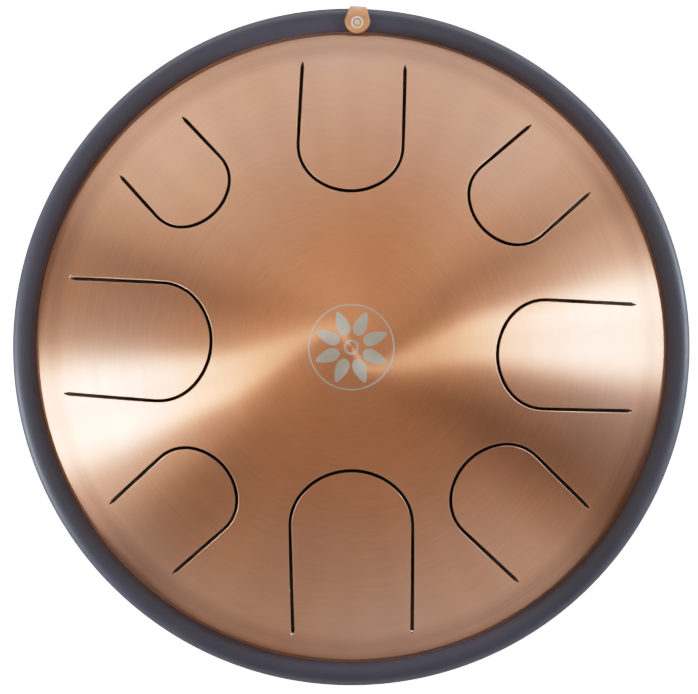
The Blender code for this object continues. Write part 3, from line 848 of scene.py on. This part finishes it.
def add_cut(parts, tongue, side, line, root, below):
    """Adds the bevel and wall along one side of a slot, and the parting face at the root."""
    def normalised(vectors):
        return vectors / np.linalg.norm(vectors, axis=1)[:, None]

    rim_plan, mid_plan, edge_plan = (tongue.sides(extra)[side]
                                     for extra in (BEVEL, BEVEL * 0.32, 0.0))
    rim, rim_normals = on_sheet(rim_plan, SHEET / 2)
    low_normals = -on_sheet(rim_plan, -SHEET / 2)[1]
    mid = on_sheet(mid_plan, SHEET / 2)[0]
    mid[:, 2] -= 0.04 * MM
    edge = on_sheet(edge_plan, SHEET / 2)[0]
    edge[:, 2] -= 0.14 * MM
    mid_row = parts.add_points(mid)
    edge_row = parts.add_points(edge)
    foot_row = parts.add_points(on_sheet(edge_plan, -SHEET / 2)[0])
    low_line = [v + below for v in line]

    # sideways direction into the slot
    tangent = np.gradient(rim[:, :2], axis=0)
    sideways = normalised(np.c_[tangent[:, 1], -tangent[:, 0]])
    sideways *= np.sign((sideways * (edge - rim)[:, :2]).sum(1))[:, None]
    sideways = np.c_[sideways, np.zeros(len(line))]
    mid_normals = normalised(rim_normals * 0.75 + sideways * 0.66)
    edge_normals = normalised(rim_normals * 0.30 + sideways * 0.95)
    for row_a, row_b, normals_a, normals_b, slot in (
            (line, mid_row, rim_normals, mid_normals, EDGE_SLOT),
            (mid_row, edge_row, mid_normals, edge_normals, EDGE_SLOT),
            (edge_row, foot_row, sideways, sideways, WALL_SLOT),
            (foot_row, low_line, low_normals, low_normals, INSIDE_SLOT)):
        parts.add_strip(row_a, row_b, normals_a, normals_b, slot, flip=side == INNER)

    for a, b in zip(root, root[1:]):
        parts.add_face([a, b, b + below, a + below], None, WALL_SLOT)
    rows = (line, mid_row, edge_row, foot_row, low_line)
    parts.add_face([row[0] for row in rows], None, WALL_SLOT)
    parts.add_face([row[-1] for row in reversed(rows)], None, WALL_SLOT)


def build_top():
    sheet = TopSheet()
    shell, vertices, below = sheet.piece(0, TONGUES, OUTER)
    rim = vertices(sheet.rim)
    for a, b in zip(rim, rim[1:] + rim[:1]):
        shell.add_face((b, a, a + below, b + below), None, COPPER_SLOT)
    attach(shell.build("top_dome", TOP_MATERIALS), "top_shell")
    for k, t in enumerate(TONGUES):
        blade = sheet.piece(k + 1, [t], INNER)[0]
        ob = blade.build(t.name.replace("tongue_", "") + "_tongue_blade", TOP_MATERIALS)
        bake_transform(ob)
        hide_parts(t.name)


build_top()

# ------------------------------------------------------------------ burrs where the laser pierced
# name, azimuth, radius on the drum (mm), crescent radius (mm), tube radius (mm),
# start and sweep of the crescent (degrees, seen from above)
BURRS = [
    ("pierce_burr_south_west", -100.29, 145.9, 0.72, 0.27, 20.0, 235.0),
    ("pierce_burr_south_east", -76.71, 144.2, 0.30, 0.36, 0.0, 350.0),
    ("pierce_burr_south_leg", -102.85, 122.9, 0.26, 0.17, 60.0, 240.0),
    ("pierce_burr_west", 167.12, 143.2, 1.25, 0.24, 95.0, 120.0),
]


def build_burr(name, azimuth, radius, major, tube, start, sweep):
    """A crescent of molten metal: a tapering partial torus lying on the sheet."""
    steps, around = 20, 12
    a = math.radians(azimuth)
    height, outward, upward = map(float, dome_surface(radius, SHEET / 2))
    normal = Vector((math.cos(a) * outward, math.sin(a) * outward, upward))
    centre = Vector((radius * math.cos(a), radius * math.sin(a), BASE + height))
    centre = centre + normal * (tube * 0.25)
    east = Vector((1, 0, 0)) - normal * normal.x
    east.normalize()
    north = normal.cross(east)
    loops = []
    for i in range(steps + 1):
        k = i / steps
        a = math.radians(start + sweep * k)
        out = east * math.cos(a) + north * math.sin(a)
        taper = max(0.12, math.sin(math.pi * min(max(k, 0.02), 0.98)) ** 0.6)
        thick = tube * taper * (1 + 0.12 * math.sin(5.3 * a))
        loops.append([tuple(centre + out * (major + x) + normal * y)
                      for x, y in circle(thick, around)])
    attach(skin(name, loops, (BURR,), sharp=60.0))


for name, azimuth, radius, major, tube, start, sweep in BURRS:
    build_burr(name, azimuth, radius * MM, major * MM, tube * MM, start, sweep)

# ------------------------------------------------------------------ bottom dome
ROUND_COUNT = 288
LIP_R = 40.0 * MM + SHEET / 2            # round the central opening, at the sheet's middle
LIP_HEIGHT = 5.0 * MM
LIP_FOLD = 4.5 * MM                      # bend between dome and lip


def bottom_face(offset):
    """(r, z) from the lip's end to the flange; offset > 0 is the outer (lower) face."""
    base = JOINT_Z - FLANGE_MID
    fold_r = LIP_R + LIP_FOLD
    reach = DOME_R - LIP_FOLD
    sphere = RISE - DOME_R
    fold_depth = sphere + math.sqrt(reach ** 2 - fold_r ** 2)
    start = math.asin(fold_r / reach)
    points = [(LIP_R - offset, base - fold_depth + LIP_HEIGHT * (1 - i / 2.0)) for i in range(3)]
    for i in range(1, 17):
        a = -math.pi / 2 + (start + math.pi / 2) * i / 16
        radius = LIP_FOLD + offset
        points.append((fold_r + radius * math.sin(a), base - (fold_depth + radius * math.cos(a))))
    for i in range(1, 53):
        a = start + (DOME_EDGE - start) * i / 52
        radius = DOME_R + offset
        points.append((radius * math.sin(a), base - (sphere + radius * math.cos(a))))
    for i in range(1, 13):
        a = DOME_EDGE * (1 - i / 12)
        radius = KNUCKLE_R - offset
        points.append((KNUCKLE_FOOT_R - radius * math.sin(a),
                       base - (KNUCKLE_R - radius * math.cos(a))))
    return points + [(161.0 * MM, base - offset), (FLANGE_R, base - offset)]


def build_bottom():
    outer, inner = bottom_face(SHEET / 2), bottom_face(-SHEET / 2)
    lip_z = inner[0][1] + 0.25 * MM
    lip_end = [(LIP_R + 0.35 * MM, lip_z), (LIP_R - 0.35 * MM, lip_z)]
    profile = inner[::-1] + lip_end + outer
    loops = [[(x, y, z) for x, y in circle(r, ROUND_COUNT)] for r, z in profile]
    ob = skin("bottom_dome", loops, (COPPER, INSIDE), sharp=40.0, closed=True)
    slots = np.zeros(len(ob.data.polygons), np.int32)
    slots[:(len(inner) - 1) * ROUND_COUNT] = 1
    ob.data.polygons.foreach_set("material_index", slots)
    attach(ob, "bottom_shell")


build_bottom()


# ------------------------------------------------------------------ rubber rim ring
def ring_profile():
    """(r, z) round the ring's section, z from the joint."""
    inner, groove, lip = 158.3 * MM, 166.4 * MM, 2.0 * MM
    slope, drop = 5.6 * MM, 2.3 * MM     # reach and height of the inner slope
    upper = [(inner, lip)]
    for i in range(14):
        a = math.radians(180 - 90 * i / 14)
        upper.append((inner + slope + slope * math.cos(a), RING_HALF - drop + drop * math.sin(a)))
    for i in range(21):
        a = math.radians(90 - 90 * i / 20)
        upper.append((RING_R - RING_EDGE + RING_EDGE * math.cos(a), RING_HALF * math.sin(a)))
    lower = [(r, -z) for r, z in reversed(upper[:-1])]
    return upper + lower + [(groove, -lip), (groove, 0.0), (groove, lip)]


def stand_off(azimuth):
    """How far the stretched rubber stands off its seat: fuller north-west, tighter north-east."""
    full = (azimuth - 118.0 + 180.0) % 360.0 - 180.0
    tight = (azimuth - 51.0 + 180.0) % 360.0 - 180.0
    return (0.45 * math.exp(-(full / 24.0) ** 2) - 0.42 * math.exp(-(tight / 22.0) ** 2)) * MM


def build_ring():
    """The ring is a strip whose ends butt together under the tag."""
    steps = 360
    half_gap = 0.2 * MM / RING_R
    start = math.pi / 2 + half_gap
    end = math.pi / 2 + 2 * math.pi - half_gap
    profile = ring_profile()
    loops = []
    for j in range(steps + 1):
        a = start + (end - start) * j / steps
        out = stand_off(math.degrees(a))
        loop = []
        for r, z in profile:
            # where it is tighter, the inner edge stays in place
            share = 1.0 if out > 0 else min(1.0, max(0.0, (r - 0.1605) / 0.006))
            moved = r + out * share
            loop.append((moved * math.cos(a), moved * math.sin(a), JOINT_Z + z))
        loops.append(loop)
    ob = skin("rubber_rim_ring", loops, (RING_RUBBER,), sharp=40.0)
    attach(ob, "rim_ring")


build_ring()
NODES["rim_bond"].data.materials.clear()
NODES["rim_bond"].data.materials.append(BOND)

# ------------------------------------------------------------------ leather tag
TAG_THICK = 1.0 * MM
TAG_MID = 0.3 * MM + TAG_THICK / 2       # from the ring to the leather's middle
TAG_ROUND = 0.42 * MM                    # rounding of the long edges
TAG_TURN = math.radians(-3.0)
SAG_START_Y = 163.9 * MM
SAG = 1.5 * MM
# faces round the section that take the cut-edge leather
TAG_EDGE_FACES = (*range(14, 22), *range(35, 43))


def tag_sag(y):
    """How far the leather's end follows the ring's slope down at y, and its gradient there."""
    k = max(0.0, SAG_START_Y - y) / TAG_TIP
    return SAG * k * k, 2 * SAG / TAG_TIP * k


def tag_half_width(y):
    if y <= TAG_Y:
        return TAG_LOBE * math.sqrt(max(0.0, 1 - ((y - TAG_Y) / TAG_TIP) ** 2))
    width = TAG_LOBE - TAG_TAPER * (y - TAG_Y)
    # a soft maximum of the tapering width and the neck
    softness = 0.6 * MM
    return 0.5 * (width + TAG_NECK + math.sqrt((width - TAG_NECK) ** 2 + softness ** 2))


def tag_line():
    """Stations along the strap: y, z from the joint, the normal's y and z, half-width."""
    fold_y = RING_R - RING_EDGE
    end_y = TAG_Y - TAG_TIP
    upper = []
    for i in range(33):
        y = end_y + (fold_y - end_y) * (1 - math.cos(0.5 * math.pi * i / 32))
        sag, run = tag_sag(y)
        length = math.hypot(run, 1.0)
        upper.append((y, RING_HALF + TAG_MID - sag, -run / length, 1.0 / length,
                      tag_half_width(y)))
    fold = []
    for i in range(1, 48):
        a = math.radians(90 - 180 * i / 48)
        ny, nz = math.cos(a) * (RING_HALF + TAG_MID), math.sin(a) * (RING_EDGE + TAG_MID)
        length = math.hypot(ny, nz)
        y = fold_y + (RING_EDGE + TAG_MID) * math.cos(a)
        fold.append((y, (RING_HALF + TAG_MID) * math.sin(a), ny / length, nz / length,
                     tag_half_width(y)))
    return upper + fold + [(y, -z, ny, -nz, width) for y, z, ny, nz, width in reversed(upper)]


def tag_section(half):
    """(x, height) round the strap's section, from its upper left."""
    height = TAG_THICK / 2
    reach = min(TAG_ROUND, half * 0.8)
    flat, wall = half - reach, height - TAG_ROUND
    rising = [i / 6 for i in range(1, 6)]
    falling = [1 - share for share in rising]

    def corner(x_sign, z_sign, shares):
        angles = [math.pi / 2 * share for share in shares]
        return [(x_sign * (flat + reach * math.cos(a)), z_sign * (wall + TAG_ROUND * math.sin(a)))
                for a in angles]

    def half_section(sign):
        face = [(sign * (-flat + 2 * flat * i / 12), sign * height) for i in range(13)]
        side = [(sign * half, sign * wall), (sign * half, -sign * wall)]
        return face + corner(sign, sign, falling) + side + corner(sign, -sign, rising)

    return half_section(1) + half_section(-1)


def build_strap():
    loops = []
    for y, z, ny, nz, half in tag_line():
        loops.append([(x, y + h * ny, JOINT_Z + z + h * nz)
                      for x, h in tag_section(max(half, 0.05 * MM))])
    ob = skin("leather_tag_strap", loops, (LEATHER, LEATHER_EDGE), sharp=50.0)
    count = len(loops[0])
    slots = np.zeros(len(ob.data.polygons), np.int32)
    for k in range((len(loops) - 1) * count):
        slots[k] = k % count in TAG_EDGE_FACES
    ob.data.polygons.foreach_set("material_index", slots)
    return ob


def build_stamp(name, inner, outer):
    """A flat printed ring that follows the leather."""
    low = JOINT_Z + RING_HALF + TAG_MID + TAG_THICK / 2 - 0.02 * MM
    high = low + 0.06 * MM
    loops = [[(x, TAG_Y - 0.9 * MM + y, z) for x, y in circle(radius, 72)]
             for radius, z in ((inner, low), (inner, high), (outer, high), (outer, low))]
    ob = skin(name, loops, (INK,), sharp=40.0, closed=True)
    for vertex in ob.data.vertices:
        vertex.co.z -= tag_sag(vertex.co.y)[0]
    return ob


strap = build_strap()
stamps = [build_stamp("tag_stamp_ring", 2.3 * MM, 3.0 * MM),
          build_stamp("tag_stamp_dot", 0.5 * MM, 1.15 * MM)]
tilt = (Matrix.Translation((TAG_X, TAG_Y, 0)) @ Matrix.Rotation(TAG_TURN, 4, "Z")
        @ Matrix.Translation((0, -TAG_Y, 0)))
for ob in (strap, *stamps):
    ob.data.transform(tilt)
    attach(ob)
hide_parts("leather_tag")

# ------------------------------------------------------------------ feet, screws, nuts
# Each foot has its own axis, square to the bottom dome; depth runs along it, downwards.
FOOT_CIRCLE = 66.0 * MM
FOOT_TILT = math.asin(FOOT_CIRCLE / DOME_R)
FOOT_Z = JOINT_Z - FLANGE_MID - float(dome_surface(FOOT_CIRCLE, 0.0)[0])
FOOT_REACH = FOOT_Z / math.cos(FOOT_TILT)          # depth of the floor
FOOT_SEAT = SHEET / 2 + 0.3 * MM
FOOT_TOP_R = 12.5 * MM
FOOT_TAPER = (11.0 * MM - FOOT_TOP_R) / (FOOT_REACH - FOOT_SEAT)
FOOT_COUNT = 72
BORE_R = 4.6 * MM
HOLE_R = 2.4 * MM                                  # round the screw
HEAD_SEAT = 7.4 * MM
HEAD_CROWN = 10.0 * MM
SOCKET_FLOOR = HEAD_CROWN - 1.5 * MM
SOCKET_HALF = 1.25 * MM                            # half the hexagon's width across flats
NUT_HALF = 3.5 * MM
NUT_HEIGHT = 3.2 * MM


def foot_side(depth):
    """Radius of the foot's tapering side."""
    return FOOT_TOP_R + FOOT_TAPER * (depth - FOOT_SEAT)


def foot_angles():
    return [2 * math.pi * j / FOOT_COUNT for j in range(FOOT_COUNT)]


def foot_point(axes, radius, angle, depth):
    return axes @ Vector((radius * math.cos(angle), radius * math.sin(angle), depth))


def foot_ring(axes, depth, radius, hexagon=None):
    """A circle round the foot's axis, cut down to a hexagon of this half-width if given."""
    loop = []
    for a in foot_angles():
        reach = radius
        if hexagon:
            reach = min(radius, hexagon / math.cos((a % (math.pi / 3)) - math.pi / 6))
        loop.append(tuple(foot_point(axes, reach, a, depth)))
    return loop


def sole_ring(axes, radius_at, lift):
    """Where each line down the side meets a level lift above the floor: point, angle, depth."""
    ring = []
    for a in foot_angles():
        depth = FOOT_REACH
        for _ in range(12):
            point = foot_point(axes, radius_at(depth), a, depth)
            depth += (point.z - lift) / math.cos(FOOT_TILT)
        ring.append((point, a, depth))
    return ring


def build_foot(place, axes):
    start = FOOT_SEAT + 0.5 * MM
    sole = sole_ring(axes, foot_side, 0.9 * MM)
    loops = [foot_ring(axes, depth, radius) for depth, radius in (
        (FOOT_SEAT, HOLE_R), (FOOT_SEAT, 7.0 * MM), (FOOT_SEAT, 12.0 * MM),
        (FOOT_SEAT + 0.15 * MM, 12.35 * MM), (start, foot_side(start)))]
    for k in (0.25, 0.5, 0.75):
        loop = []
        for _, a, end in sole:
            depth = start + (end - start) * k
            loop.append(tuple(foot_point(axes, foot_side(depth), a, depth)))
        loops.append(loop)
    loops.append([tuple(point) for point, _, _ in sole])
    centre = (axes @ Vector((0, 0, FOOT_REACH))).xy
    # the rounding above the floor: height, pull towards the middle
    for lift, pull in ((0.35 * MM, 0.25 * MM), (0.08 * MM, 0.6 * MM), (0.0, 0.95 * MM)):
        loop = []
        for point, _, _ in sole:
            out = Vector((point.x - centre.x, point.y - centre.y))
            out = out * (1 - pull / max(out.length, 1e-6))
            loop.append((centre.x + out.x, centre.y + out.y, lift))
        loops.append(loop)
    loops.append([(p.x, p.y, 0.0) for p, _, _ in sole_ring(axes, lambda depth: BORE_R, 0.0)])
    loops += [foot_ring(axes, HEAD_SEAT - 0.3 * MM, radius) for radius in (BORE_R, HOLE_R)]
    ob = skin("rubber_foot_" + place, loops, (FOOT_RUBBER,), sharp=35.0, closed=True)
    attach(ob, "foot_" + place)


def build_screw(place, axes):
    """A pan-head screw with a hexagon socket, its head in the foot's bore."""
    stations = [(SOCKET_FLOOR, 0.02 * MM), (SOCKET_FLOOR, 1.45 * MM, SOCKET_HALF),
                (HEAD_CROWN, 1.45 * MM, SOCKET_HALF), (HEAD_CROWN, 1.9 * MM)]
    rounding = 1.1 * MM
    for i in range(9):
        a = math.pi / 2 * (1 - i / 8)
        stations.append((HEAD_CROWN - rounding + rounding * math.sin(a),
                         2.6 * MM + 1.3 * MM * math.cos(a)))
    stations += [(7.55 * MM, 3.9 * MM), (HEAD_SEAT, 3.75 * MM), (HEAD_SEAT, 2.0 * MM),
                 (-5.6 * MM, 2.0 * MM), (-6.0 * MM, 1.6 * MM), (-6.0 * MM, 0.02 * MM)]
    loops = [foot_ring(axes, *station) for station in stations]
    ob = skin("pan_head_screw_" + place, loops, (ZINC,), sharp=35.0)
    attach(ob, "foot_screw_" + place)


def build_nut(place, axes):
    """The hexagon nut inside the drum."""
    top = -(FOOT_SEAT + NUT_HEIGHT)
    corner_r = 2 * NUT_HALF / math.sqrt(3)
    stations = [(0.0, HOLE_R), (0.0, 3.35 * MM, NUT_HALF),
                (0.3 * MM, corner_r * 0.965, NUT_HALF), (0.5 * MM, corner_r, NUT_HALF),
                (2.9 * MM, corner_r, NUT_HALF), (NUT_HEIGHT, corner_r * 0.96, NUT_HALF),
                (NUT_HEIGHT, HOLE_R)]
    loops = [foot_ring(axes, top + depth, *size) for depth, *size in stations]
    ob = skin("hex_nut_" + place, loops, (ZINC,), sharp=30.0, closed=True)
    attach(ob, "foot_nut_" + place)


for place, azimuth in (("northeast", 45.0), ("northwest", 135.0),
                       ("southwest", 225.0), ("southeast", 315.0)):
    axes = (Matrix.Rotation(math.radians(azimuth), 4, "Z")
            @ Matrix.Translation((FOOT_CIRCLE, 0, FOOT_Z))
            @ Matrix.Rotation(math.pi - FOOT_TILT, 4, "Y"))
    build_foot(place, axes)
    build_screw(place, axes)
    build_nut(place, axes)


# ------------------------------------------------------------------ floor and world
def floor_material():
    """White paper that glows only for the camera; its glow is dimmed under the drum as a painted
    contact shadow.
    """
    mat = Material("studio_floor")
    position = mat.position()
    soft = mat.noise(position, scale=3.0, detail=2.0, roughness=0.5)
    seen = mat.output("ShaderNodeLightPath", result="Is Camera Ray")
    brightness = 1.5
    x, y, _ = mat.axes(position)
    radius = mat.math("SQRT", x * x + y * y)
    # painted contact shadow: the glow fades under the drum, darkest near its middle
    lit = (mat.remap(radius, over=(0.030, 0.174), to=(0.30, 1.0), smooth=True)
           * mat.remap(radius, over=(0.044, 0.090), to=(0.05, 1.0), smooth=True))
    return mat.finish({
        "Base Color": mat.blend(soft, (0.86, 0.86, 0.87), (0.90, 0.90, 0.90)),
        "Roughness": 0.9,
        "Specular IOR Level": 0.1,
        "Emission Color": WHITE,
        "Emission Strength": seen * brightness * lit,
    })


floor_mesh = bpy.data.meshes.new("studio_floor")
floor_mesh.from_pydata([(-6, -6, 0), (6, -6, 0), (6, 6, 0), (-6, 6, 0)], [], [(0, 1, 2, 3)])
floor_mesh.materials.append(floor_material())
floor = add_object("studio_floor", floor_mesh)
floor.location.z = -0.0002

# white paper behind everything, which throws no light of its own
PAPER_BRIGHTNESS = 1.62
scene = bpy.context.scene
world = bpy.data.worlds.new("studio")
scene.world = world
world.use_nodes = True
nodes, links = world.node_tree.nodes, world.node_tree.links
background = nodes["Background"]
background.inputs["Color"].default_value = (1.0, 1.0, 1.0, 1.0)
paper = nodes.new("ShaderNodeMath")
paper.operation = "MULTIPLY"
paper.inputs[1].default_value = PAPER_BRIGHTNESS
light_path = nodes.new("ShaderNodeLightPath")
links.new(light_path.outputs["Is Camera Ray"], paper.inputs[0])
links.new(paper.outputs[0], background.inputs["Strength"])

# ------------------------------------------------------------------ softboxes round the drum
LIGHT_TARGET = Vector((0, 0, 0.1))
LIGHT_DISTANCE = 2.4
STRONG_WATTS = 10          # softboxes above this are the smaller ones
SMALL_SIZE, LARGE_SIZE = 0.40, 0.64
WARM = (1.000, 0.930, 0.840)
COOL = (0.740, 0.880, 1.000)
# elevation: (azimuth, watts, colour)
SOFTBOXES = {
    12: [
        (0, 18.20, COOL), (10, 22.20, (0.744, 0.882, 1.000)),
        (20, 2.60, (1.000, 0.960, 0.920)), (30, 1.03, WARM),
        (40, 2.42, (1.000, 0.976, 0.940)), (50, 3.38, (0.969, 0.995, 1.000)),
        (60, 2.83, (0.992, 1.000, 0.990)), (70, 2.60, (0.996, 1.000, 0.982)),
        (80, 2.54, (1.000, 0.982, 0.944)), (90, 2.65, (0.991, 1.000, 0.989)),
        (100, 2.33, (1.000, 0.992, 0.962)), (110, 2.55, (0.997, 1.000, 0.986)),
        (120, 2.91, (0.918, 0.970, 1.000)), (130, 3.51, (0.866, 0.942, 1.000)),
        (140, 3.40, (0.861, 0.936, 1.000)), (150, 2.10, (1.000, 0.997, 0.991)),
        (190, 21.20, COOL), (200, 24.30, (0.802, 0.909, 1.000)),
        (210, 2.85, WARM), (240, 0.82, WARM), (250, 0.81, WARM), (260, 0.92, WARM),
        (270, 1.16, WARM), (280, 1.16, (1.000, 0.941, 0.862)),
        (290, 1.40, (1.000, 0.957, 0.894)), (300, 1.31, (0.986, 1.000, 0.992)),
        (310, 1.57, (1.000, 0.974, 0.926)), (320, 0.98, WARM),
    ],
    28: [(0, 1.35, WARM), (100, 0.42, COOL), (190, 2.66, COOL)],
    44: [(180, 1.12, WARM), (350, 0.94, WARM)],
    60: [(110, 0.42, WARM), (130, 0.64, WARM), (160, 1.04, WARM), (180, 1.25, WARM),
         (220, 0.89, WARM)],
    76: [(0, 0.07, WARM), (30, 0.80, WARM), (60, 0.77, WARM), (90, 1.00, WARM),
         (120, 0.27, WARM), (240, 0.31, WARM), (270, 0.34, WARM), (330, 0.41, WARM)],
}


def add_softbox(name, azimuth, elevation, watts, colour):
    lamp = bpy.data.lights.new(name, "AREA")
    lamp.shape = "DISK"
    lamp.size = SMALL_SIZE if watts > STRONG_WATTS else LARGE_SIZE
    lamp.energy = watts
    lamp.color = colour
    ob = bpy.data.objects.new(name, lamp)
    a, e = math.radians(azimuth), math.radians(elevation)
    direction = Vector((math.cos(a) * math.cos(e), math.sin(a) * math.cos(e), math.sin(e)))
    ob.location = LIGHT_TARGET + LIGHT_DISTANCE * direction
    ob.rotation_euler = (LIGHT_TARGET - ob.location).to_track_quat("-Z", "Y").to_euler()
    ob.visible_camera = False
    scene.collection.objects.link(ob)


boxes = [(azimuth, elevation, watts, colour)
         for elevation, row in SOFTBOXES.items() for azimuth, watts, colour in row]
for number, box in enumerate(boxes):
    add_softbox("softbox_%02d" % number, *box)

# ------------------------------------------------------------------ camera, straight above
CAMERA_DISTANCE = 1.5      # above the joint
RING_SHARE = 0.48495702    # the ring's radius as a share of the picture's width
camera_data = bpy.data.cameras.new("camera")
camera_data.sensor_width = 36.0
camera_data.lens = RING_SHARE / (RING_R / CAMERA_DISTANCE) * 36.0
camera_data.shift_x = -0.003295129
camera_data.shift_y = 0.00014326648
camera_data.clip_end = 50
camera = add_object("camera", camera_data)
camera.location = (0, 0, JOINT_Z + CAMERA_DISTANCE)
camera.rotation_euler = (0, 0, math.radians(1.2))
scene.camera = camera

# a photographic shoulder: highlights roll off to white instead of clipping channel by channel
SHOULDER_RATE = 1.85
view = scene.view_settings
view.view_transform = "Standard"
view.look = "None"
view.use_curve_mapping = True
curves = view.curve_mapping
curves.initialize()
curves.use_clip = False
tone = [(x, 1 - math.exp(-SHOULDER_RATE * x)) for x in (0.0, 0.1, 0.2, 0.35, 0.5, 0.7, 0.9, 1.15)]
tone += [(1.45, 0.955), (1.8, 1.0)]
for curve in list(curves.curves)[:3]:
    curve.points[0].location, curve.points[-1].location = tone[0], tone[-1]
    for point in tone[1:-1]:
        curve.points.new(*point)
    for point in curve.points:
        point.handle_type = "AUTO"
curves.update()
